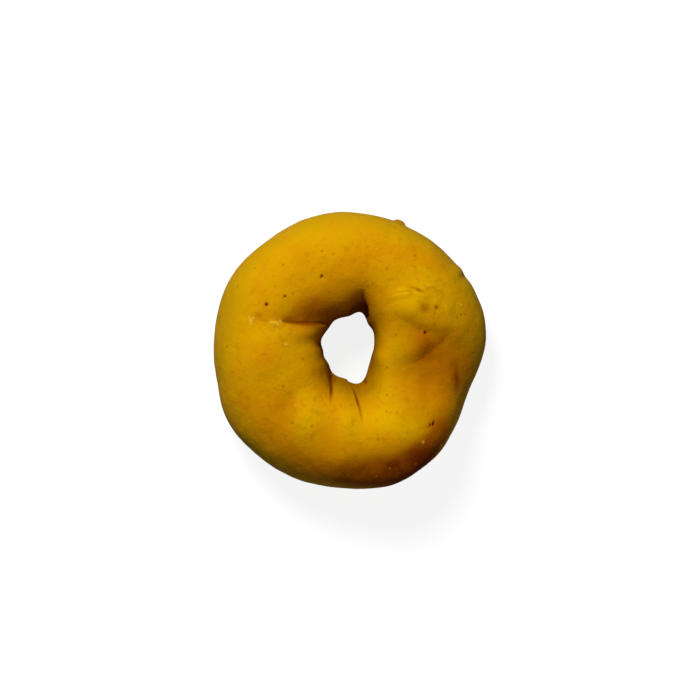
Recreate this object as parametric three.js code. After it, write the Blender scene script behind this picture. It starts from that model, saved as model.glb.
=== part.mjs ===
// A bread ring: one thick rope of smooth yellow dough closed into a loop about as wide as a palm, resting on a
// flattened underside. Its outline wanders as hand-shaped dough does. A seam on the left shows where the rope's
// two ends were joined, pleats gather round the small hole, and a curled fold marks the right-hand side.
//
// Millimetres, +Z up. The origin is on the resting face, below the middle of the ring's outline.

import * as THREE from "three";
import { ParametricGeometry } from "three/addons/geometries/ParametricGeometry.js";
import { mergeVertices } from "three/addons/utils/BufferGeometryUtils.js";

// The ring's outer edge and the hole's edge: distances from the middle every 15 degrees, from +X towards +Y.
const outerRadii = [
  48.6, 50.2, 49.6, 49.4, 49.5, 49.6, 50.3, 50.6, 50.1, 50.4, 51.0, 50.2,
  49.9, 50.1, 51.6, 51.2, 51.0, 50.5, 50.2, 50.8, 49.8, 48.3, 46.2, 45.9,
];
const holeRadii = [
  8.2, 8.8, 9.8, 10.8, 11.6, 13.8, 12.4, 12.2, 12.3, 11.5, 11.3, 11.1,
  10.0, 9.9, 9.4, 10.0, 10.6, 10.4, 11.4, 12.2, 10.7, 8.9, 8.1, 7.8,
];

// The rope's section: a round back over a belly that sags onto a flat sole.
const crestHeights = [31.5, 32.0, 32.5, 33.0, 33.5, 33.0]; // every 60 degrees
const widestShare = 0.42; // height of the widest level, as a share of the crest height
const sagDepth = 5.5; // how far below the sole the belly's ellipse would reach if nothing stopped it

// Folds that start at the hole and run outwards. A path is seen from above, and the fold is deepest at its start.
// The two widths say how softly the dough falls into the fold on the left and on the right of the path.
const folds = [
  { name: "seam", path: [[-7, 8.4], [-16, 10], [-26, 10.9], [-39, 11.2]], depth: 3.4, left: 0.9, right: 6.5 },
  { name: "upper left valley", path: [[-9, 2.5], [-17, 2.6], [-27, 2.0]], depth: 1.3, left: 3, right: 3 },
  { name: "lower left valley", path: [[-8, -4], [-18.5, -10], [-27, -20]], depth: 2.2, left: 3.2, right: 3.5 },
  { name: "inner pleat", path: [[-5.8, -7.5], [-7.2, -12.5], [-7.6, -19]], depth: 2.8, left: 1.1, right: 1.3 },
  { name: "long pleat", path: [[-0.8, -10], [1.8, -16], [4.6, -27], [9, -33]], depth: 2.4, left: 1.2, right: 1 },
  { name: "corner pleat", path: [[4.8, -10.5], [7, -13], [9.5, -15]], depth: 1.4, left: 1.5, right: 1.5 },
  { name: "back cleft", path: [[5, 11], [4, 17], [2, 21], [2, 26]], depth: 3.6, left: 4.5, right: 1.6 },
  { name: "curled fold", path: [[18, -5], [28, 0.3], [36, 7]], depth: 2.4, left: 3.6, right: 3 },
];
const foldFadeStart = 0.25; // share of a path after which its depth fades to nothing
const foldOnset = { from: -0.3, to: 0.5 }; // folds set in over the wall of the hole, 0 at its narrowest, 1 at the crest

// Soft pads that stand proud (positive height) and hollows (negative), each round a point on the surface.
const swells = [
  { name: "nub on the edge", at: [17.6, 46, 15], radius: 1.9, height: 1.3 },
  { name: "pad above the curled fold", at: [21, 21, 30], radius: 8, height: 1.4 },
  { name: "thumb hollow", at: [27, 13, 31], radius: 2.6, height: -0.7 },
  { name: "pad between the pleats", at: [-2.5, -19, 32], radius: 5, height: 1.2 },
  { name: "pad beside the long pleat", at: [12, -22, 31], radius: 8, height: 1.2 },
  { name: "shoulder", at: [31, -20, 26], radius: 8, height: 1.8 },
  { name: "side hollow", at: [44, -14, 12], radius: 8, height: -0.8 },
];
const plainBelow = { from: 2, to: 11 }; // heights between which folds and swells die away above the flat sole

// How finely the surface is cut into facets.
const stepsAround = 96;
const stepsAcross = 30;
const pathSteps = 24;
const soleSparseness = 0.35; // steps crowd on the back by this share, and thin out as much under the ring

const turn = Math.PI * 2;
const smooth = (range, x) => THREE.MathUtils.smoothstep(x, range.from, range.to);

// Value at a share of the way round a closed list, on a smooth curve through all of its entries.
function roundTheLoop(values, share) {
  const place = (share % 1) * values.length;
  const index = Math.floor(place);
  const [before, start, end, after] = [-1, 0, 1, 2].map((step) => values.at((index + step) % values.length));
  const curve = new THREE.SplineCurve([before, start, end, after].map((value, i) => new THREE.Vector2(i, value)));
  return curve.getPoint((1 + place - index) / 3).y;
}

const foldLines = folds.map((fold) => ({
  ...fold,
  points: new THREE.SplineCurve(fold.path.map(([x, y]) => new THREE.Vector2(x, y))).getPoints(pathSteps),
}));

// How far one fold presses the surface in at a point seen from above.
function foldDepth(fold, place) {
  let nearest = Infinity;
  let width = fold.left;
  let along = 0;
  for (let i = 0; i < pathSteps; i++) {
    const run = fold.points[i + 1].clone().sub(fold.points[i]);
    const offset = place.clone().sub(fold.points[i]);
    const share = THREE.MathUtils.clamp(offset.dot(run) / run.lengthSq(), 0, 1);
    const distance = offset.clone().addScaledVector(run, -share).length();
    if (distance < nearest) {
      nearest = distance;
      width = run.cross(offset) > 0 ? fold.left : fold.right;
      along = (i + share) / pathSteps;
    }
  }
  return fold.depth * (1 - smooth({ from: foldFadeStart, to: 1 }, along)) * Math.exp(-nearest / width);
}

// Height of one swell at a point of the plain surface: a bell round its own centre.
function swellHeight(swell, point) {
  const distance = point.distanceTo(new THREE.Vector3(...swell.at));
  return swell.height * Math.exp(-((distance / swell.radius) ** 2));
}

// The surface. u goes once round the ring. v goes once round the rope: from the widest level outside, over the
// crest, down the wall of the hole and back under the sole.
function ringSurface(u, v, target) {
  const angle = u * turn;
  const outer = roundTheLoop(outerRadii, u);
  const hole = roundTheLoop(holeRadii, u);
  const crest = roundTheLoop(crestHeights, u);
  const halfWidth = (outer - hole) / 2;
  const widest = crest * widestShare;

  const across = turn * v + soleSparseness * (Math.cos(turn * v) - 1);
  const outward = Math.cos(across);
  const upward = Math.sin(across);
  const rise = upward > 0 ? crest - widest : widest + sagDepth;
  const radius = (outer + hole) / 2 + halfWidth * outward;
  const height = widest + rise * upward;
  const plain = new THREE.Vector3(radius * Math.cos(angle), radius * Math.sin(angle), height);

  const place = new THREE.Vector2(plain.x, plain.y);
  const pressed = foldLines.reduce((sum, fold) => sum + foldDepth(fold, place), 0);
  const raised = swells.reduce((sum, swell) => sum + swellHeight(swell, plain), 0);
  const shift = (raised - pressed * smooth(foldOnset, upward)) * smooth(plainBelow, height);

  const normal = new THREE.Vector2(outward / halfWidth, upward / rise).normalize();
  const moved = radius + normal.x * shift;
  target.set(moved * Math.cos(angle), moved * Math.sin(angle), Math.max(0, height + normal.y * shift));
}

// One closed surface, with the middle of its outline over the origin.
function breadRingGeometry() {
  const sheet = new ParametricGeometry(ringSurface, stepsAround, stepsAcross);
  sheet.deleteAttribute("normal");
  sheet.deleteAttribute("uv");
  const closed = mergeVertices(sheet, 1e-3);
  closed.computeBoundingBox();
  const middle = closed.boundingBox.getCenter(new THREE.Vector3());
  closed.translate(-middle.x, -middle.y, 0);
  closed.computeVertexNormals();
  return closed;
}

const dough = new THREE.MeshStandardMaterial({ color: 0xd29b0a, roughness: 0.5, metalness: 0 });

const breadRing = new THREE.Mesh(breadRingGeometry(), dough);
breadRing.name = "bread_ring";

const part = new THREE.Group();
part.add(breadRing);

export default part;
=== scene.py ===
import math

import bpy
import numpy as np
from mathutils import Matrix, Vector


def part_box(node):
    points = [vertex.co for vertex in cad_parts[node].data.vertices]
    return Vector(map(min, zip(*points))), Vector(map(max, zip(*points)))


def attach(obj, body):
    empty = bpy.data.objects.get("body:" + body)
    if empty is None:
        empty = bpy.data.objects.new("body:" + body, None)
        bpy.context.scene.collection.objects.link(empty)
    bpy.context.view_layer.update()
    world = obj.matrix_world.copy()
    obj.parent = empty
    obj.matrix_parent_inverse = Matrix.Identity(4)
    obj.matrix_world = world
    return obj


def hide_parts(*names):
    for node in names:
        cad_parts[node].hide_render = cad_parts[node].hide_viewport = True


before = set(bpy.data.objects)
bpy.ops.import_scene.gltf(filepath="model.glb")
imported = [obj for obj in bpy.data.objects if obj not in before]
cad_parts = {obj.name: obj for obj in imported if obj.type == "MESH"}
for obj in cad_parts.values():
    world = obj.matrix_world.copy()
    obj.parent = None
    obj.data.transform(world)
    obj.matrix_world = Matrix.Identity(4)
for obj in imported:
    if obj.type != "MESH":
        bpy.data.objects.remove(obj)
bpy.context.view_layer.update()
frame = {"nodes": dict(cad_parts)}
turn = 2 * math.pi
print("frame loaded:", ", ".join(frame["nodes"]))


# The ring. Lengths are in millimetres; lists that go round it start at +X and turn towards +Y.
breadRing = {
    # Radius of the outline and of the hole, and height of the crest.
    "edge": [48.6, 50.2, 49.6, 49.4, 49.5, 49.6, 50.3, 50.6, 50.2, 50.5, 51.1, 50.3,
             50.0, 50.2, 51.7, 51.3, 51.0, 50.5, 50.2, 50.8, 49.8, 48.3, 46.2, 46.0],
    "hole": [8.2, 8.8, 9.8, 10.8, 11.6, 13.9, 12.4, 12.2, 12.3, 11.5, 11.3, 11.1,
             10.0, 9.9, 9.4, 10.2, 10.6, 10.4, 11.4, 12.3, 10.7, 8.9, 8.1, 7.8],
    "crest": [32.0, 32.5, 33.0, 33.5, 33.5, 33.0],
    # How far the rope swells beyond an ellipse, on the outer and inner side of its back and on its belly, and
    # how far the crest leans outwards, in half widths.
    "outerFullness": [-0.05, 0.0, 0.0, 0.0, 0.0, 0.0, 0.0, 0.0, 0.0, 0.12, 0.3, 0.22],
    "innerFullness": [0.1, 0.1, 0.0, 0.08, 0.22, 0.27, 0.36, 0.22, 0.0, 0.0, 0.0, 0.1],
    "bellyFullness": 0.16,
    "lean": [-0.28, -0.08, 0.0, 0.0, 0.0, 0.0, 0.0, -0.06, 0.04, 0.19, 0.25, -0.12],
    "widestShare": 0.42,       # height of the widest level over the crest height
    "sag": 5.0,                # how far below the board the belly would hang if nothing stopped it
    "boardSoftness": 0.7,      # rounding where the belly meets the board

    "stepsAround": 468,
    "stepsAcross": 213,
    "soleSparseness": 0.5,     # by how much the grid's steps are closer on the back and wider under the sole
    "pathSteps": 240,          # steps along each fold
    "creaseDraw": {"reach": 2.4, "pull": 0.55},   # how the grid is drawn in towards folds
    "poreDraw": {"reach": 2.0, "pull": 0.9},      # and towards pores and crumbs

    "unevenness": [{"height": 0.10, "wavelength": 14, "seed": 3},
                   {"height": 0.03, "wavelength": 5, "seed": 4}],
    "unevenWaves": 28,
    "unevenSpread": (0.7, 1.4),       # shortest and longest wave, in wavelengths
    "shapedBetween": (1.5, 9),        # heights between which unevenness, folds and pads set in
    "foldReach": 4,                   # how far beyond its path's box a fold acts, in soft widths
    "lipDistance": 1.6,               # where its lip is highest, in the smaller soft width
    "lipDepthLimit": 1.5,             # depth beyond which a lip grows no higher
    "spotThickness": 10,              # how far above or below its plane a pad or tint reaches

    # Folds. Each path point is x, y and depth there, and a ridge has a depth below nought. Soft width,
    # sharpness and lip, a share of the depth, are given for the left and the right of the path. Sharpness
    # is 1 for a creased bottom and 2 for a rounded one. The shade stain is painted shade: it browns the
    # bottom of the fold where shade falls; it has a width of its own, and it is full where the fold is as
    # deep as the stain depth.
    "shadeStainWidth": 0.55,
    "shadeStainDepth": 0.6,
    "folds": {
        "seam": {"path": [(-9.3, 9.0, 1.2), (-14.5, 9.3, 2.3), (-20, 9.8, 2.2), (-23, 10.2, 1.6),
                          (-25.5, 10.3, 0.9), (-29, 10.2, 0.5), (-35.7, 10.9, 0.3)],
                 "soft": (0.35, 4.0), "sharp": (2.0, 1.15), "shadeStain": 0.85, "shadeStainWidth": 0.8,
                 "shadeStainDepth": 1.6},
        "upperLeftValley": {"path": [(-10.3, 2.5, 0.4), (-15, 2.6, 0.35), (-21, 2.2, 0.05)],
                            "soft": (3.0, 3.2), "sharp": (2, 2)},
        "lowerLeftValley": {"path": [(-8.5, -7, 0.1), (-17, -13, 0.8), (-22, -19, 0.7), (-26, -26, 0.1)],
                            "soft": (4.5, 3.6), "sharp": (1.8, 1.8)},
        "innerPleat": {"path": [(-6.7, -8.6, 0.9), (-6.6, -10.5, 1.2), (-6.7, -13, 1.0),
                                (-6.9, -15.5, 0.5), (-7.2, -18, 0.2), (-7.5, -20, 0.0)],
                       "soft": (0.25, 1.5), "sharp": (2.0, 1.2), "lip": (0.1, 0.0), "shadeStain": 1.0,
                       "shadeStainWidth": 0.5},
        "longPleat": {"path": [(-1.0, -10.9, 1.0), (0.1, -12.3, 1.4), (1.1, -14.0, 1.4),
                               (1.9, -16.2, 1.0), (2.5, -18.5, 0.6), (3.2, -21, 0.35), (3.8, -24, 0.2),
                               (4.2, -27, 0.0)],
                      "soft": (2.6, 0.4), "sharp": (1.2, 2.0), "lip": (0.0, 0.1), "shadeStain": 0.9},
        "cornerPleat": {"path": [(4.2, -10.4, 0.4), (4.8, -11.2, 0.5), (5.3, -12.0, 0.2),
                                 (5.7, -12.6, 0.0)],
                        "soft": (0.7, 0.7), "sharp": (1.3, 1.3), "shadeStain": 0.7},
        "backCleft": {"path": [(5.1, 12.6, 2.2), (4.5, 15.5, 2.2), (4.2, 18.5, 1.1), (4.4, 22, 0.1)],
                      "soft": (4.5, 1.5), "sharp": (1.3, 1.3), "lip": (0, 0.1), "shadeStain": 0.4},
        "curledFold": {"path": [(12.5, -6.0, 0.0), (18.0, -5.2, 0.7), (22.5, -4.6, 1.3),
                                (26.0, -3.0, 1.7), (30.2, 0.0, 1.9), (33.6, 2.6, 1.3), (35.6, 6.5, 0.3),
                                (36.2, 9.0, 0.0)],
                       "soft": (3.8, 10.0), "sharp": (1.4, 1.25)},
        "petalValley": {"path": [(15.5, 13.2, 0.0), (19.4, 10.0, 0.8), (24.0, 7.2, 1.2), (28.2, 6.2, 1.0),
                                 (33.5, 5.6, 0.4), (38, 4.8, 0.0)],
                        "soft": (2.4, 3.6), "sharp": (1.8, 1.8)},
        "sideValley": {"path": [(28, -6, 0.2), (28.5, -11, 0.9), (28.5, -16, 0.9), (27, -21, 0.1)],
                       "soft": (3.5, 3.5), "sharp": (2, 2)},
        "swirlRidge": {"path": [(15.5, 20.8, -0.05), (17.5, 21.2, -0.35), (20.1, 21.5, -0.4),
                                (22.8, 21.2, -0.05)],
                       "soft": (0.6, 0.7), "sharp": (1.8, 1.8)},
        "swirlHem": {"path": [(13.5, 18.6, -0.05), (17.9, 19.8, -0.4), (22.3, 20.2, -0.45),
                              (26.1, 19.4, -0.3), (28, 18.4, -0.05)],
                     "soft": (0.65, 1.2), "sharp": (1.8, 1.8)},
        "swirlTail": {"path": [(26.0, 21.4, -0.05), (27.7, 22.8, -0.25), (30.6, 23.2, -0.05)],
                      "soft": (0.5, 0.6), "sharp": (1.8, 1.8)},
        "swirlCrack": {"path": [(20.4, 22.0, 0.05), (21.8, 22.1, 0.2), (22.9, 22.0, 0.2),
                                (24.0, 21.3, 0.5), (24.9, 20.9, 0.3), (27.0, 19.6, 0.0)],
                       "soft": (0.35, 0.4), "sharp": (1.6, 1.4), "lip": (0.1, 0.1), "shadeStain": 0.9},
        "sideNotch": {"path": [(39.2, 25.8, 0.0), (40.3, 26.45, 0.25), (41.0, 26.85, 0.5),
                               (41.35, 27.02, 0.45)],
                      "soft": (1.3, 1.3), "sharp": (1.7, 1.7), "lip": (0.1, 0.1)},
        "shoulderRidge": {"path": [(32.5, 16.6, -0.05), (34.4, 14.6, -0.4), (35.6, 11.2, -0.05)],
                          "soft": (1.4, 1.4), "sharp": (1.8, 1.8)},
    },

    # Soft pads and hollows: centre, half lengths, turn of the first one in degrees, height. One with a
    # flatness above 1 has a flat top and steeper sides.
    "pads": {
        "pillowPad": {"at": (-30, -4), "size": (9, 8), "turn": 0, "height": 1.4},
        "pillowLip": {"at": (-16, 6.2), "size": (7.5, 3.0), "turn": -2, "height": 1.2},
        "pillowCrown": {"at": (-31, 4), "size": (6, 4.5), "turn": 0, "height": 0.5},
        "lobePad": {"at": (-15.5, -26), "size": (6, 7), "turn": 20, "height": 1.2},
        "fingerPad": {"at": (-1.5, -26.5), "size": (8, 4.0), "turn": 97, "height": 1.4},
        "palmPad": {"at": (17, -29), "size": (11, 7.5), "turn": 0, "height": 1.4},
        "swirlPad": {"at": (21, 15.2), "size": (8.5, 6), "turn": 5, "height": 1.7},
        "sideHollow": {"at": (40.5, -6), "size": (5.5, 12), "turn": 10, "height": -1.0},
        "saddle": {"at": (22, -9.5), "size": (13, 8), "turn": -22, "height": -2.2},
        "swirlDent": {"at": (26.5, 14.7), "size": (1.7, 1.9), "turn": 0, "height": -0.35},
        "seamDent": {"at": (-32.7, 11.9), "size": (2.2, 0.8), "turn": 0, "height": -0.3},
        "nub": {"at": (17.7, 46.2), "size": (2.0, 1.9), "turn": -18, "height": 1.1, "flatness": 2},
        "aboveNotch": {"at": (39.4, 28.9), "size": (2.4, 6.0), "turn": 125, "height": 0.55},
        "belowNotch": {"at": (43.1, 22.8), "size": (3.4, 6.0), "turn": 119, "height": 0.45},
    },

    # Crumbs along the seam and the tiny flour specks: centre, radius and height.
    "crumbs": [
        {"at": (-35.5, 10.6), "radius": 0.55, "height": 0.5},
        {"at": (-36.0, 11.6), "radius": 0.4, "height": 0.3},
        {"at": (-35.4, 9.2), "radius": 0.4, "height": 0.3},
        {"at": (-34.7, 11.3), "radius": 0.4, "height": 0.3},
        {"at": (-28.2, 10.1), "radius": 0.5, "height": 0.4},
        {"at": (-27.1, 9.9), "radius": 0.55, "height": 0.5},
        {"at": (-26.1, 9.6), "radius": 0.5, "height": 0.45},
        {"at": (-25.0, 10.4), "radius": 0.4, "height": 0.3},
        {"at": (-23.1, 1.9), "radius": 0.42, "height": 0.4},
        {"at": (25.6, -32.7), "radius": 0.45, "height": 0.3},
        {"at": (32.2, -34.1), "radius": 0.45, "height": 0.3},
        {"at": (39.8, 16.1), "radius": 0.35, "height": 0.2},
    ],

    # Pores: centre, radius and depth. Their brown is painted shade: one as deep as the shade depth is fully
    # brown, with a rim of painted shade.
    "pores": [
        {"at": (-30.0, 16.2), "radius": 0.48, "depth": 1.0},
        {"at": (-23.4, 19.1), "radius": 0.32, "depth": 0.7},
        {"at": (-10.3, 26.2), "radius": 0.36, "depth": 0.8},
        {"at": (-10.3, 35.2), "radius": 0.25, "depth": 0.3},
        {"at": (26.6, 6.2), "radius": 0.36, "depth": 0.8},
        {"at": (29.3, -26.4), "radius": 0.45, "depth": 0.9},
        {"at": (28.2, -26.7), "radius": 0.3, "depth": 0.7},
        {"at": (30.5, 15.1), "radius": 0.6, "depth": 0.35},
        {"at": (38.4, 11.6), "radius": 0.3, "depth": 0.25},
        {"at": (41.0, 12.7), "radius": 0.25, "depth": 0.2},
    ],
    "poreShadeDepth": 0.6,
    "rimWidth": 2,             # in radii of the pore
    # painted shade round each pore
    "poreRimShade": 0.5,

    # Places where the crust is given another tone, most of them painted shade or painted light: centre,
    # half lengths, turn of the first one in degrees, amount. A flatness above 1 makes the place even, with a
    # harder edge.
    "tints": {
        # a few real brown patches; the rest is painted shade where the crust turns away from the light
        "toastAndPaintedShade": [
            {"at": (38.4, -9.8), "size": (4.4, 2.0), "turn": 100, "amount": 0.6},
            {"at": (29, 1), "size": (8, 3.4), "turn": 38, "amount": 0.3},
            {"at": (24, 5.6), "size": (7, 4), "turn": -25, "amount": 0.5},
            {"at": (32.5, -7), "size": (12, 13), "turn": 0, "amount": 1.0},
            {"at": (43, -7), "size": (10, 4), "turn": 95, "amount": 0.4},
            {"at": (32, -28), "size": (7, 5), "turn": 60, "amount": 0.85},
            {"at": (10, -44), "size": (19, 8), "turn": 6, "amount": 1.0},
            {"at": (25, -39), "size": (12, 7), "turn": 34, "amount": 1.0, "flatness": 1.5},
            {"at": (-14, -41), "size": (14, 6), "turn": -15, "amount": 0.6},
            {"at": (-24, -19), "size": (5, 6), "turn": 0, "amount": 0.25},
            {"at": (-25, -31), "size": (6, 8), "turn": 0, "amount": 0.2},
            {"at": (-13, 14.2), "size": (8, 6), "turn": 15, "amount": 1.0},
            {"at": (5, 18), "size": (6, 6), "turn": 0, "amount": 0.4},
            {"at": (-1.5, 23.5), "size": (6, 3.5), "turn": 5, "amount": 0.4},
            {"at": (26.3, 14.8), "size": (1.8, 1.7), "turn": 0, "amount": 0.7},
            {"at": (17.2, 46.5), "size": (3.0, 2.8), "turn": -18, "amount": 1.0},
            {"at": (-22.4, 11.4), "size": (2.4, 1.2), "turn": 0, "amount": 0.5},
            {"at": (-33, 12), "size": (2.6, 1.2), "turn": 0, "amount": 0.4},
        ],
        # painted shade: dark red-brown where the lower flank, the seam wedge, the cleft and the nub turn from
        # the light
        "burntPaintedShade": [
            {"at": (22.5, -41.5), "size": (13, 6.5), "turn": 32, "amount": 0.93, "flatness": 2},
            {"at": (6, -44), "size": (15, 6), "turn": 3, "amount": 0.55, "flatness": 1.5},
            {"at": (12, -48), "size": (13, 6), "turn": 5, "amount": 0.6},
            {"at": (-13.5, 13.2), "size": (6, 4), "turn": 10, "amount": 0.55},
            {"at": (11, -39), "size": (5, 3), "turn": 10, "amount": 0.2},
            {"at": (-3, 12.2), "size": (6, 4), "turn": 12, "amount": 0.1},
            {"at": (17.2, 47.0), "size": (2.4, 1.6), "turn": -18, "amount": 0.4},
            {"at": (4.2, 14.2), "size": (3.5, 4), "turn": 60, "amount": 0.4},
            {"at": (38.6, -9.8), "size": (3.2, 1.2), "turn": 100, "amount": 0.5},
        ],
        # partly a greener crust tone, partly painted shade near the hole and on the flanks
        "oliveAndPaintedShade": [
            {"at": (15, 3), "size": (5, 12), "turn": 0, "amount": 0.65},
            {"at": (-17.5, 0.5), "size": (6, 4), "turn": 0, "amount": 0.7},
            {"at": (-25, 34), "size": (26, 8), "turn": 38, "amount": 0.35},
            {"at": (2, 43), "size": (20, 7), "turn": -5, "amount": 0.4},
            {"at": (-42, 13), "size": (6, 13), "turn": -10, "amount": 0.7},
        ],
        # painted light: a lighter yellow on the pads and lobes that face the light
        "lemonPaintedLight": [
            {"at": (-29, 6), "size": (9, 4), "turn": 0, "amount": 1.0},
            {"at": (-44, -2), "size": (4, 10), "turn": 0, "amount": 0.7},
            {"at": (-14.5, -18), "size": (4, 7), "turn": 0, "amount": 0.7},
            {"at": (-0.5, -25), "size": (4.5, 7), "turn": 0, "amount": 1.0},
            {"at": (12, -24), "size": (9, 6), "turn": 0, "amount": 1.0},
            {"at": (22, -29), "size": (8, 5), "turn": 20, "amount": 1.0},
            {"at": (20.5, 16.5), "size": (8, 7), "turn": -5, "amount": 1.0},
            {"at": (30, 22), "size": (9, 7), "turn": -20, "amount": 0.9},
            {"at": (-14.5, -27), "size": (5, 5), "turn": 0, "amount": 0.7},
            {"at": (36, 13), "size": (5, 5), "turn": 0, "amount": 0.7},
            {"at": (-2, 41), "size": (18, 5), "turn": 0, "amount": 0.3},
            {"at": (26, 40), "size": (12, 5), "turn": -38, "amount": 0.6},
            {"at": (11, -14), "size": (6, 5), "turn": 0, "amount": 1.0},
            {"at": (-31, -12), "size": (7, 5), "turn": 0, "amount": 0.6},
            {"at": (9.5, -8), "size": (3, 4), "turn": 0, "amount": 0.5},
        ],
    },
    # Tones that go all round. The sole's is full below its first height and gone above its second. The
    # others begin and are full at how far the crust faces out from the ring, or into the hole: 0 at the
    # crest and 1 at the widest level. The outer flank's darker olive is partly painted shade, and the hole's
    # darker olive and burnt brown are painted shade.
    "soleBetween": (0.1, 1.4),
    "outerFlankShadeBetween": (0.6, 1.0),
    "innerFlankShadeBetween": (0.5, 0.95),
    "holePaintedShadeBetween": (0.8, 1.0),
    "holePaintedShade": 0.45,
}


def roundTheLoop(values, share):
    # smooth closed curve through evenly spaced values: a cubic B-spline whose control values come from
    # dividing the values' Fourier terms by the spline's own response
    count = len(values)
    response = (2 + np.cos(turn * np.arange(count) / count)) / 3
    control = np.fft.ifft(np.fft.fft(values) / response).real
    place = np.mod(share, 1.0) * count
    index = np.floor(place).astype(int)
    t = place - index
    weights = ((1 - t) ** 3, 3 * t ** 3 - 6 * t ** 2 + 4, -3 * t ** 3 + 3 * t ** 2 + 3 * t + 1, t ** 3)
    return sum(w * control[(index + k - 1) % count] for k, w in enumerate(weights)) / 6


def throughPoints(points, count):
    # smooth open curve through the points: each span blends its four nearest points (Catmull-Rom)
    rows = np.asarray(points, dtype=float)
    rows = np.vstack([2 * rows[0] - rows[1], rows, 2 * rows[-1] - rows[-2]])
    place = np.linspace(0, len(points) - 1, count)
    span = np.minimum(place.astype(int), len(points) - 2)
    t = (place - span)[:, None]
    a, b, c, d = (rows[span + k] for k in range(4))
    return b + 0.5 * t * (c - a + t * (2 * a - 5 * b + 4 * c - d + t * (3 * (b - c) + d - a)))


def smoothStep(low, high, x):
    # 0 up to low, 1 from high on, and 3 t squared - 2 t cubed of the way t between them
    t = np.clip((x - low) / (high - low), 0, 1)
    return t * t * (3 - 2 * t)


def ropeSection(angle):
    # middle radius, half width, crest height and widest level of the rope at each angle round the ring
    share = angle / turn
    edge = roundTheLoop(breadRing["edge"], share)
    hole = roundTheLoop(breadRing["hole"], share)
    crest = roundTheLoop(breadRing["crest"], share)
    return (edge + hole) / 2, (edge - hole) / 2, crest, crest * breadRing["widestShare"]


def backFullness(angle, cosine):
    # the inner fullness turns into the outer one across the rope
    outer = roundTheLoop(breadRing["outerFullness"], angle / turn)
    inner = roundTheLoop(breadRing["innerFullness"], angle / turn)
    return inner + (outer - inner) * (1 + cosine) / 2


def ropeSurface(angle, across):
    # radius = middle + half width x (cosine + lean x sine squared), height = widest level + rise x sine;
    # both waves are swollen at the diagonals by the fullness, and the belly stops softly on the board
    middle, halfWidth, crest, widest = ropeSection(angle)
    cosine, sine = np.cos(across), np.sin(across)
    fullness = np.where(sine > 0, backFullness(angle, cosine), breadRing["bellyFullness"])
    lean = np.where(sine > 0, roundTheLoop(breadRing["lean"], angle / turn), 0)
    rise = np.where(sine > 0, crest - widest, widest + breadRing["sag"])
    radius = middle + halfWidth * (cosine * (1 + fullness * sine ** 2) + lean * sine ** 2)
    height = widest + rise * sine * (1 + fullness * cosine ** 2)
    height = (height + np.sqrt(height ** 2 + breadRing["boardSoftness"] ** 2)) / 2
    return np.stack([radius * np.cos(angle), radius * np.sin(angle), height], axis=-1)


def ropeNormal(angle, across):
    # cross product of the slopes round the ring and across the rope
    step = 1e-3
    along = ropeSurface(angle + step, across) - ropeSurface(angle - step, across)
    over = ropeSurface(angle, across + step) - ropeSurface(angle, across - step)
    normal = np.cross(along, over)
    return normal / np.linalg.norm(normal, axis=-1, keepdims=True)


def onBack(x, y):
    # the angle round the ring and across the rope of a point of the back seen from above: the cosine starts
    # at the point's share of the half width and settles as fullness and lean are taken out of it
    furthest, rounds = 0.999, 24
    angle = np.arctan2(y, x) % turn
    middle, halfWidth, _, _ = ropeSection(angle)
    out = np.clip((np.hypot(x, y) - middle) / halfWidth, -furthest, furthest)
    lean = roundTheLoop(breadRing["lean"], angle / turn)
    cosine = out
    for _ in range(rounds):
        squared = 1 - cosine ** 2
        cosine = np.clip((out - lean * squared) / (1 + backFullness(angle, cosine) * squared), -1, 1)
    return angle, np.arccos(np.clip(cosine, -1, 1))


def spotOnBack(spot):
    # the angles, place and normal of a spot's centre on the plain back
    angle, across = onBack(*map(np.float64, spot["at"]))
    return {"angle": angle, "across": across, "place": ropeSurface(angle, across),
            "normal": ropeNormal(angle, across)}


def foldLine(fold):
    # a fold's path laid on the plain back: angles, places and depths at close steps
    rows = throughPoints(fold["path"], breadRing["pathSteps"])
    angle, across = onBack(rows[:, 0], rows[:, 1])
    return {"angle": np.unwrap(angle), "across": across, "place": ropeSurface(angle, across),
            "normal": ropeNormal(angle, across), "depth": rows[:, 2]}


def nearestOnLine(points, line):
    # for each point: fractional step of the nearest point of the line, and the signed distance to it,
    # positive on the line's left
    batch = 20000
    place = line["place"]
    tangent = np.gradient(place, axis=0)
    nearest = np.empty(len(points), dtype=int)
    for start in range(0, len(points), batch):
        chunk = points[start:start + batch]
        squares = ((chunk[:, None, :] - place[None]) ** 2).sum(-1)
        nearest[start:start + batch] = squares.argmin(1)
    offset = points - place[nearest]
    run = tangent[nearest]
    step = (offset * run).sum(-1) / (run ** 2).sum(-1)
    index = np.clip(nearest + step, 0, len(place) - 1)
    foot = np.stack([np.interp(index, np.arange(len(place)), place[:, k]) for k in range(3)], axis=-1)
    offset = points - foot
    side = np.sign((np.cross(run, offset) * line["normal"][nearest]).sum(-1))
    return index, np.where(side < 0, -1, 1) * np.linalg.norm(offset, axis=-1)


def closeTo(points, place, reach):
    # whether each point is in the places' box, widened by the reach
    return np.all((points > place.min(0) - reach) & (points < place.max(0) + reach), axis=-1)


def drawIn(angle, across, line, index, distance, draw):
    # pulls grid lines towards a line: what is left of the way there is (distance / reach) ** pull
    least = 1e-3
    share = np.clip(np.abs(distance) / draw["reach"], least, 1) ** draw["pull"]
    steps = np.arange(np.size(line["angle"]))
    footAngle = np.interp(index, steps, np.atleast_1d(line["angle"]))
    footAcross = np.interp(index, steps, np.atleast_1d(line["across"]))
    gap = (angle - footAngle + math.pi) % turn - math.pi
    return footAngle + gap * share, footAcross + (across - footAcross) * share


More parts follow.
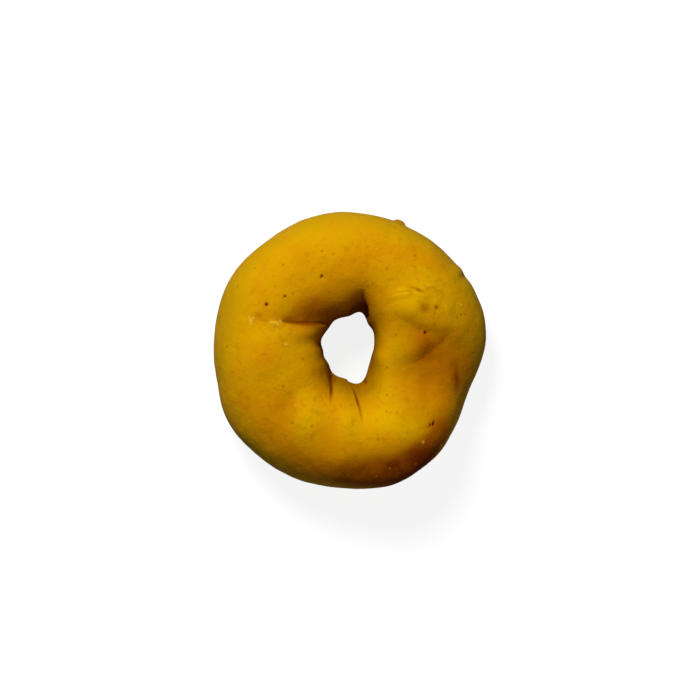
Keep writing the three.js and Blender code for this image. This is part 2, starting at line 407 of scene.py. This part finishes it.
def gridAngles(lines, spots):
    # an even grid, thinned out under the sole, then drawn in towards the folds, pores and crumbs
    around = np.arange(breadRing["stepsAround"]) / breadRing["stepsAround"] * turn
    over = np.arange(breadRing["stepsAcross"]) / breadRing["stepsAcross"] * turn
    over = over + breadRing["soleSparseness"] * (np.cos(over) - 1)
    angle, across = (grid.ravel() for grid in np.meshgrid(around, over, indexing="ij"))
    draw = breadRing["creaseDraw"]
    for line in lines:
        points = ropeSurface(angle, across)
        near = np.flatnonzero(closeTo(points, line["place"], draw["reach"]))
        index, distance = nearestOnLine(points[near], line)
        angle[near], across[near] = drawIn(angle[near], across[near], line, index, distance, draw)
    draw = breadRing["poreDraw"]
    for spot in spots:
        points = ropeSurface(angle, across)
        near = np.flatnonzero(closeTo(points, spot["place"][None], draw["reach"]))
        distance = np.linalg.norm(points[near] - spot["place"], axis=-1)
        index = np.zeros(len(near))
        angle[near], across[near] = drawIn(angle[near], across[near], spot, index, distance, draw)
    return angle, across


def foldShape(points, fold, line):
    # drop = depth x exp(-(distance / soft width) ** sharp); the lip rises as b x exp(1 - b), where b is the
    # square of distance over the lip's own distance; the painted shade stain = exp(-(distance / stain width)
    # squared)
    shift = np.zeros(len(points))
    shadeStain = np.zeros(len(points))
    near = np.flatnonzero(closeTo(points, line["place"], breadRing["foldReach"] * max(fold["soft"])))
    index, signed = nearestOnLine(points[near], line)
    depth = np.interp(index, np.arange(len(line["depth"])), line["depth"])
    distance = np.abs(signed)
    soft = np.where(signed > 0, *fold["soft"])
    sharp = np.where(signed > 0, *fold["sharp"])
    lip = np.where(signed > 0, *fold.get("lip", (0, 0))) * np.minimum(depth, breadRing["lipDepthLimit"])
    bulge = (distance / (breadRing["lipDistance"] * min(fold["soft"]))) ** 2
    shift[near] = lip * bulge * np.exp(1 - bulge) - depth * np.exp(-(distance / soft) ** sharp)
    shadeStainWidth = fold.get("shadeStainWidth", breadRing["shadeStainWidth"])
    shadeStainDepth = fold.get("shadeStainDepth", breadRing["shadeStainDepth"])
    shadeStain[near] = (fold.get("shadeStain", 0) * np.clip(depth / shadeStainDepth, 0, 1)
                   * np.exp(-(distance / shadeStainWidth) ** 2))
    return shift, shadeStain


def spotWeight(points, spot):
    # exp(-spread ** flatness - (distance off the plane / thickness) ** 2), where the plane touches the back
    # at the spot, and in it spread = (along / half length) ** 2 + (aside / half width) ** 2
    centre = spotOnBack(spot)
    normal = centre["normal"]
    heading = math.radians(spot["turn"])
    along = np.array([math.cos(heading), math.sin(heading), 0.0])
    along -= normal * (along @ normal)
    along /= np.linalg.norm(along)
    aside = np.cross(normal, along)
    offset = points - centre["place"]
    a, b, c = offset @ along, offset @ aside, offset @ normal
    spread = (a / spot["size"][0]) ** 2 + (b / spot["size"][1]) ** 2
    return np.exp(-spread ** spot.get("flatness", 1) - (c / breadRing["spotThickness"]) ** 2)


def roundWeight(points, spot, radius, power):
    # exp(-(distance / radius) ** power), round a spot's centre
    return np.exp(-(np.linalg.norm(points - spot["place"], axis=-1) / radius) ** power)


def lumps(points, wavelength, seed):
    # soft unevenness: a sum of sine waves in random directions, near one wavelength
    rng = np.random.default_rng(seed)
    waves = breadRing["unevenWaves"]
    heading = rng.normal(size=(waves, 3))
    heading /= np.linalg.norm(heading, axis=1, keepdims=True)
    heading *= turn / (wavelength * rng.uniform(*breadRing["unevenSpread"], (waves, 1)))
    return np.sin(points @ heading.T + rng.uniform(0, turn, waves)).sum(1) / math.sqrt(waves)


def fitToFrame(points, node):
    # scales and moves the shape so that its box is the CAD node's box
    low, high = (np.array(corner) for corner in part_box(node))
    least, most = points.min(0), points.max(0)
    return low + (points - least) / (most - least) * (high - low)


def meshFromGrid(name, points, rows, columns):
    # quads over a grid that closes on itself both ways
    mesh = bpy.data.meshes.new(name)
    index = np.arange(rows * columns).reshape(rows, columns)
    nextRow, nextColumn = np.roll(index, -1, 0), np.roll(index, -1, 1)
    quads = np.stack([index, nextRow, np.roll(nextRow, -1, 1), nextColumn], axis=-1).reshape(-1, 4)
    mesh.vertices.add(len(points))
    mesh.vertices.foreach_set("co", points.astype(np.float32).ravel())
    mesh.loops.add(quads.size)
    mesh.loops.foreach_set("vertex_index", quads.ravel().astype(np.int32))
    mesh.polygons.add(len(quads))
    mesh.polygons.foreach_set("loop_start", np.arange(0, quads.size, 4, dtype=np.int32))
    mesh.polygons.foreach_set("use_smooth", np.ones(len(quads), dtype=bool))
    mesh.update(calc_edges=True)
    mesh.validate()
    return mesh


def paint(mesh, name, values):
    # a value from 0 to 1 at every point, which the dough finish reads by its name
    attribute = mesh.attributes.new(name, "FLOAT", "POINT")
    attribute.data.foreach_set("value", np.clip(values, 0, 1).astype(np.float32))


def buildBreadRing():
    folds, pores, crumbs = breadRing["folds"].values(), breadRing["pores"], breadRing["crumbs"]
    lines = [foldLine(fold) for fold in folds]
    spots = [spotOnBack(spot) for spot in pores + crumbs]
    angle, across = gridAngles(lines, spots)
    points = ropeSurface(angle, across)
    normals = ropeNormal(angle, across)
    print("grid laid:", len(points), "points")

    # how far each point moves along its normal, and the marks that go with it
    shift = sum(waves["height"] * lumps(points, waves["wavelength"], waves["seed"])
                for waves in breadRing["unevenness"])
    # painted shade along the bottoms of the folds
    creaseShade = np.zeros(len(points))
    for fold, line in zip(folds, lines):
        drop, shadeStain = foldShape(points, fold, line)
        shift += drop
        creaseShade = np.maximum(creaseShade, shadeStain)
    for pad in breadRing["pads"].values():
        shift += pad["height"] * spotWeight(points, pad)
    shift *= smoothStep(*breadRing["shapedBetween"], points[:, 2])
    # painted shade in and round the pores
    poreShadeMask = np.zeros(len(points))
    rim = np.zeros(len(points))
    speck = np.zeros(len(points))
    for pore, spot in zip(pores, spots):
        hollow = roundWeight(points, spot, pore["radius"], 3)
        around = roundWeight(points, spot, breadRing["rimWidth"] * pore["radius"], 2)
        shade = min(1, pore["depth"] / breadRing["poreShadeDepth"])
        shift -= pore["depth"] * hollow
        poreShadeMask = np.maximum(poreShadeMask, hollow * shade)
        rim = np.maximum(rim, around * shade)
    for crumb, spot in zip(crumbs, spots[len(pores):]):
        bead = roundWeight(points, spot, crumb["radius"], 2)
        shift += crumb["height"] * bead
        speck = np.maximum(speck, bead)
    # the placed tones: lemon is painted light, burnt is painted shade, toast and olive are partly painted
    # shade
    tint = {name: sum(spot["amount"] * spotWeight(points, spot) for spot in places)
            for name, places in breadRing["tints"].items()}

    # outward is 1 on the outer flank, 0 at the crest and -1 on the wall of the hole
    cosine = np.cos(across)
    outward = np.where(np.sin(across) > 0, cosine, np.sign(cosine))
    # painted shade: burnt brown down the wall of the hole
    holePaintedShade = breadRing["holePaintedShade"] * smoothStep(*breadRing["holePaintedShadeBetween"], -outward)
    marks = {
        "creaseShade": creaseShade, "poreShadeMask": poreShadeMask, "speck": speck, "lemonPaintedLight": tint["lemonPaintedLight"],
        # partly painted shade
        "toastAndPaintedShade": tint["toastAndPaintedShade"] + breadRing["poreRimShade"] * rim,
        # painted shade
        "burntPaintedShade": tint["burntPaintedShade"] + holePaintedShade,
        # painted shade on the walls of the hole
        "innerFlankShade": smoothStep(*breadRing["innerFlankShadeBetween"], -outward),
        # partly painted shade: darker olive down the outer flank
        "outerFlankShade": smoothStep(*breadRing["outerFlankShadeBetween"], outward) + tint["oliveAndPaintedShade"],
        "sole": 1 - smoothStep(*breadRing["soleBetween"], points[:, 2]),
    }
    points = points + normals * shift[:, None]
    points[:, 2] = np.maximum(points[:, 2], 0)
    points = fitToFrame(points, "bread_ring")

    mesh = meshFromGrid("breadRingSkin", points, breadRing["stepsAround"], breadRing["stepsAcross"])
    for name, values in marks.items():
        paint(mesh, name, values)
    ring = bpy.data.objects.new("breadRingSkin", mesh)
    bpy.context.scene.collection.objects.link(ring)
    print("bread ring shaped:", len(mesh.polygons), "faces")
    return ring


# The crust's finish, in metres. Colours are the plain crust and what it turns into at each kind of place;
# lemon is painted light, and olive, hole olive, toast, burnt, crease brown and pore brown are wholly or
# partly painted shade. A ramp is where its noise starts to count and where it is full, then what it gives
# there if not 0 and 1.
dough = {
    "gold": (0.82, 0.388, 0.0008, 1),
    "deepGold": (0.78, 0.325, 0.0006, 1),
    # partly a greener crust tone, partly painted shade
    "oliveAndPaintedShade": (0.64, 0.355, 0.0008, 1),
    # painted shade on the walls of the hole
    "holeOlivePaintedShade": (0.50, 0.24, 0.0006, 1),
    # a few real brown patches, the rest painted shade
    "toastAndPaintedShade": (0.46, 0.13, 0.0005, 1),
    # painted shade
    "burntPaintedShade": (0.19, 0.026, 0.0004, 1),
    # painted light
    "lemonPaintedLight": (0.84, 0.45, 0.0008, 1),
    # painted shade in the folds
    "creaseShadeBrown": (0.20, 0.035, 0.0004, 1),
    # painted shade in the pores
    "poreShadeBrown": (0.14, 0.012, 0.001, 1),
    "freckle": (0.46, 0.155, 0.0006, 1),
    "speck": (0.95, 0.6, 0.03, 1),
    "soleTan": (0.62, 0.36, 0.07, 1),
    "flour": (0.86, 0.72, 0.42, 1),
    "cloudNoise": {"Scale": 85.0, "Detail": 4.0, "Roughness": 0.55},
    "goldRamp": (0.38, 0.62),
    "unevenRamp": (0.35, 0.65, 0.75, 1.1),       # how unevenly the tints take
    "roughnessRamp": (0.3, 0.7, 0.48, 0.66),
    "mottleNoise": {"Scale": 420.0, "Detail": 4.0, "Roughness": 0.6},
    "mottleRamp": (0.52, 0.72, 0.0, 0.35),
    "flourNoise": {"Scale": 150.0, "Detail": 6.0, "Roughness": 0.7},
    "flourRamp": (0.42, 0.62),
    # Dots: cells to a metre, size in cells, the share of cells that stay bare, and amount.
    "freckles": {"scale": 300.0, "size": 0.12, "rarity": 0.76, "amount": 0.5},
    "flecks": {"scale": 420.0, "size": 0.1, "rarity": 0.84, "amount": 0.22},
    "dotEdge": 2,                                # a dot fades out at this many times its size
    "rarityEdge": 0.1,                           # dots just above the rarity are fainter
    "speckAmount": 0.85,
    "grainNoise": {"Scale": 1300.0, "Detail": 3.0, "Roughness": 0.6},
    "grainDepth": 0.00012,
    "skinNoise": {"Scale": 260.0, "Detail": 5.0, "Roughness": 0.55, "Distortion": 0.3},
    "skinDepth": 0.0003,
    "constants": {
        "Specular IOR Level": 0.06,
        "Specular Tint": (1.0, 0.6, 0.05, 1),
        "Subsurface Weight": 0.06,
        "Subsurface Scale": 0.0012,
        "Subsurface Radius": (1.0, 0.35, 0.03),
    },
}


def addNode(tree, kind, **values):
    # a node with its settings, and its sockets' values by name
    node = tree.nodes.new(kind)
    for key, value in values.items():
        if key in node.inputs:
            node.inputs[key].default_value = value
        else:
            setattr(node, key, value)
    return node


def feed(tree, socket, value):
    # links a socket to another one, or gives it a plain value
    if isinstance(value, bpy.types.NodeSocket):
        tree.links.new(value, socket)
    else:
        socket.default_value = value


def blendColour(tree, below, above, share):
    # the colour below, turned into the colour above by the share
    mix = addNode(tree, "ShaderNodeMix", data_type="RGBA")
    factor, first, second, result = mix.inputs[0], mix.inputs[6], mix.inputs[7], mix.outputs[2]
    for socket, value in ((factor, share), (first, below), (second, above)):
        feed(tree, socket, value)
    return result


def times(tree, first, second):
    # the product of two sockets or numbers, kept between 0 and 1
    node = addNode(tree, "ShaderNodeMath", operation="MULTIPLY", use_clamp=True)
    for socket, value in zip(node.inputs, (first, second)):
        feed(tree, socket, value)
    return node.outputs[0]


def rampBetween(tree, value, low, high, least=0.0, most=1.0):
    # the value's way from low to high, turned into a way from least to most
    node = addNode(tree, "ShaderNodeMapRange", interpolation_type="SMOOTHSTEP")
    for socket, number in zip(node.inputs, (value, low, high, least, most)):
        feed(tree, socket, number)
    return node.outputs[0]


def doughSkin():
    material = bpy.data.materials.new("doughSkin")
    material.use_nodes = True
    tree = material.node_tree
    link = tree.links.new
    shader = tree.nodes["Principled BSDF"]
    for name, value in dough["constants"].items():
        shader.inputs[name].default_value = value
    place = addNode(tree, "ShaderNodeTexCoord").outputs["Object"]

    def noise(name):
        node = addNode(tree, "ShaderNodeTexNoise", **dough[name])
        link(place, node.inputs["Vector"])
        return node.outputs["Fac"]

    def painted(name):
        return addNode(tree, "ShaderNodeAttribute", attribute_name=name).outputs["Fac"]

    def dots(scale, size, rarity, amount):
        # round dots: full up to the size from the middle of a cell, in the cells whose random number is
        # above the rarity
        cells = addNode(tree, "ShaderNodeTexVoronoi", Scale=scale)
        link(place, cells.inputs["Vector"])
        chosen = addNode(tree, "ShaderNodeSeparateColor")
        link(cells.outputs["Color"], chosen.inputs[0])
        dot = rampBetween(tree, cells.outputs["Distance"], size, size * dough["dotEdge"], 1.0, 0.0)
        kept = rampBetween(tree, chosen.outputs[0], rarity, rarity + dough["rarityEdge"], 0.0, amount)
        return times(tree, dot, kept)

    cloud = noise("cloudNoise")
    uneven = rampBetween(tree, cloud, *dough["unevenRamp"])
    mottle = rampBetween(tree, noise("mottleNoise"), *dough["mottleRamp"])
    golden = rampBetween(tree, cloud, *dough["goldRamp"])
    colour = blendColour(tree, dough["deepGold"], dough["gold"], golden)
    # lemon is painted light on the pads that face the light
    for tone, share in (("lemonPaintedLight", times(tree, painted("lemonPaintedLight"), uneven)),
                        ("freckle", mottle),
                        # partly painted shade down the outer flank
                        ("oliveAndPaintedShade", times(tree, painted("outerFlankShade"), uneven)),
                        # painted shade on the walls of the hole
                        ("holeOlivePaintedShade", times(tree, painted("innerFlankShade"), uneven)),
                        # partly painted shade
                        ("toastAndPaintedShade", times(tree, painted("toastAndPaintedShade"), uneven)),
                        # painted shade
                        ("burntPaintedShade", times(tree, painted("burntPaintedShade"), uneven)),
                        ("freckle", dots(**dough["freckles"])),
                        ("speck", dots(**dough["flecks"])),
                        # painted shade in the folds
                        ("creaseShadeBrown", painted("creaseShade")),
                        # painted shade in the pores
                        ("poreShadeBrown", painted("poreShadeMask")),
                        ("speck", times(tree, painted("speck"), dough["speckAmount"]))):
        colour = blendColour(tree, colour, dough[tone], share)
    dusting = rampBetween(tree, noise("flourNoise"), *dough["flourRamp"])
    under = blendColour(tree, dough["soleTan"], dough["flour"], dusting)
    link(blendColour(tree, colour, under, painted("sole")), shader.inputs["Base Color"])

    link(rampBetween(tree, cloud, *dough["roughnessRamp"]), shader.inputs["Roughness"])
    grain = addNode(tree, "ShaderNodeBump", Distance=dough["grainDepth"], Strength=1.0)
    link(noise("grainNoise"), grain.inputs["Height"])
    skin = addNode(tree, "ShaderNodeBump", Distance=dough["skinDepth"], Strength=1.0)
    link(noise("skinNoise"), skin.inputs["Height"])
    link(grain.outputs["Normal"], skin.inputs["Normal"])
    link(skin.outputs["Normal"], shader.inputs["Normal"])
    print("dough finish made")
    return material


# Floor, light and camera, in metres.
studio = {
    "floorMiddle": 0.02, "floorRadius": 1.5, "coveRadius": 0.5, "wallHeight": 0.7,
    "floorRings": 12, "coveRings": 13, "floorSides": 96,
    "floorTone": (0.2, 0.2, 0.2, 1), "floorGlow": 0.86,
    "keyDirection": (-0.25, 0.61, 0.755), "keyDistance": 0.9, "keySize": 0.3, "keyPower": 7.2,
    "fillDirection": (0.6, -0.72, 0.14), "fillDistance": 0.9, "fillSize": 0.5, "fillPower": 0.45,
    "skyTone": (1.0, 1.0, 1.0, 1), "skyStrength": 0.028,
    "cameraHeight": 0.75, "seenWidth": 0.2543, "sensorWidth": 36,
}


def buildFloor():
    # a round floor that curls up into a low wall: flat out to its radius, a quarter round, then straight up
    flat = np.linspace(studio["floorMiddle"], studio["floorRadius"], studio["floorRings"])[:-1]
    bend = np.linspace(0, math.pi / 2, studio["coveRings"])
    radius = np.concatenate([flat, studio["floorRadius"] + studio["coveRadius"] * np.sin(bend),
                             [studio["floorRadius"] + studio["coveRadius"]]])
    height = np.concatenate([np.zeros(len(flat)), studio["coveRadius"] * (1 - np.cos(bend)),
                             [studio["coveRadius"] + studio["wallHeight"]]])
    sides = studio["floorSides"]
    around = np.arange(sides) / sides * turn
    points = np.stack([np.outer(radius, np.cos(around)), np.outer(radius, np.sin(around)),
                       np.repeat(height[:, None], sides, 1)], axis=-1).reshape(-1, 3)
    index = np.arange(len(points)).reshape(len(radius), sides)
    beside = np.roll(index, -1, 1)
    quads = np.stack([index[:-1], index[1:], beside[1:], beside[:-1]], axis=-1)
    mesh = bpy.data.meshes.new("paleFloor")
    mesh.from_pydata(points.tolist(), [], quads.reshape(-1, 4).tolist() + [index[0].tolist()])
    mesh.polygons.foreach_set("use_smooth", np.ones(len(mesh.polygons), dtype=bool))
    floor = bpy.data.objects.new("paleFloor", mesh)
    bpy.context.scene.collection.objects.link(floor)
    material = bpy.data.materials.new("paleFloor")
    material.use_nodes = True
    shader = material.node_tree.nodes["Principled BSDF"]
    shader.inputs["Base Color"].default_value = studio["floorTone"]
    shader.inputs["Roughness"].default_value = 1.0
    shader.inputs["Specular IOR Level"].default_value = 0.0
    shader.inputs["Emission Color"].default_value = (1, 1, 1, 1)
    shader.inputs["Emission Strength"].default_value = studio["floorGlow"]
    mesh.materials.append(material)
    glowOnly = bpy.data.collections.new("floorGlowFallsOn")   # so that the floor doesn't light the ring
    glowOnly.objects.link(floor)
    floor.light_linking.receiver_collection = glowOnly


def softLight(name, centre, part):
    # a round soft light at its distance along its direction, turned to the centre
    direction = np.array(studio[part + "Direction"]) / np.linalg.norm(studio[part + "Direction"])
    data = bpy.data.lights.new(name, "AREA")
    data.shape = "DISK"
    data.size = studio[part + "Size"]
    data.energy = studio[part + "Power"]
    light = bpy.data.objects.new(name, data)
    bpy.context.scene.collection.objects.link(light)
    light.location = centre + direction * studio[part + "Distance"]
    light.rotation_euler = Vector(-direction).to_track_quat("-Z", "Y").to_euler()


def buildLight(centre):
    softLight("softKey", centre, "key")
    softLight("softFill", centre, "fill")
    world = bpy.data.worlds.new("softSky")
    world.use_nodes = True
    background = world.node_tree.nodes["Background"]
    background.inputs["Color"].default_value = studio["skyTone"]
    background.inputs["Strength"].default_value = studio["skyStrength"]
    bpy.context.scene.world = world
    bpy.context.scene.view_settings.view_transform = "Standard"


def buildCamera(centre):
    # straight above the centre, with a lens that sees the set width from its height
    data = bpy.data.cameras.new("camera")
    data.sensor_width = studio["sensorWidth"]
    data.lens = studio["sensorWidth"] * studio["cameraHeight"] / studio["seenWidth"]
    camera = bpy.data.objects.new("camera", data)
    bpy.context.scene.collection.objects.link(camera)
    camera.location = (centre[0], centre[1], centre[2] + studio["cameraHeight"])
    bpy.context.scene.camera = camera


low, high = (np.array(corner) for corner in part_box("bread_ring"))
widestPlace = (low + high) / 2
widestPlace[2] = low[2] + (high[2] - low[2]) * breadRing["widestShare"]
buildCamera(widestPlace)
ring = buildBreadRing()
ring.data.materials.append(doughSkin())
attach(ring, "root")
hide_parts("bread_ring")
buildFloor()
buildLight(widestPlace)
print("studio ready")
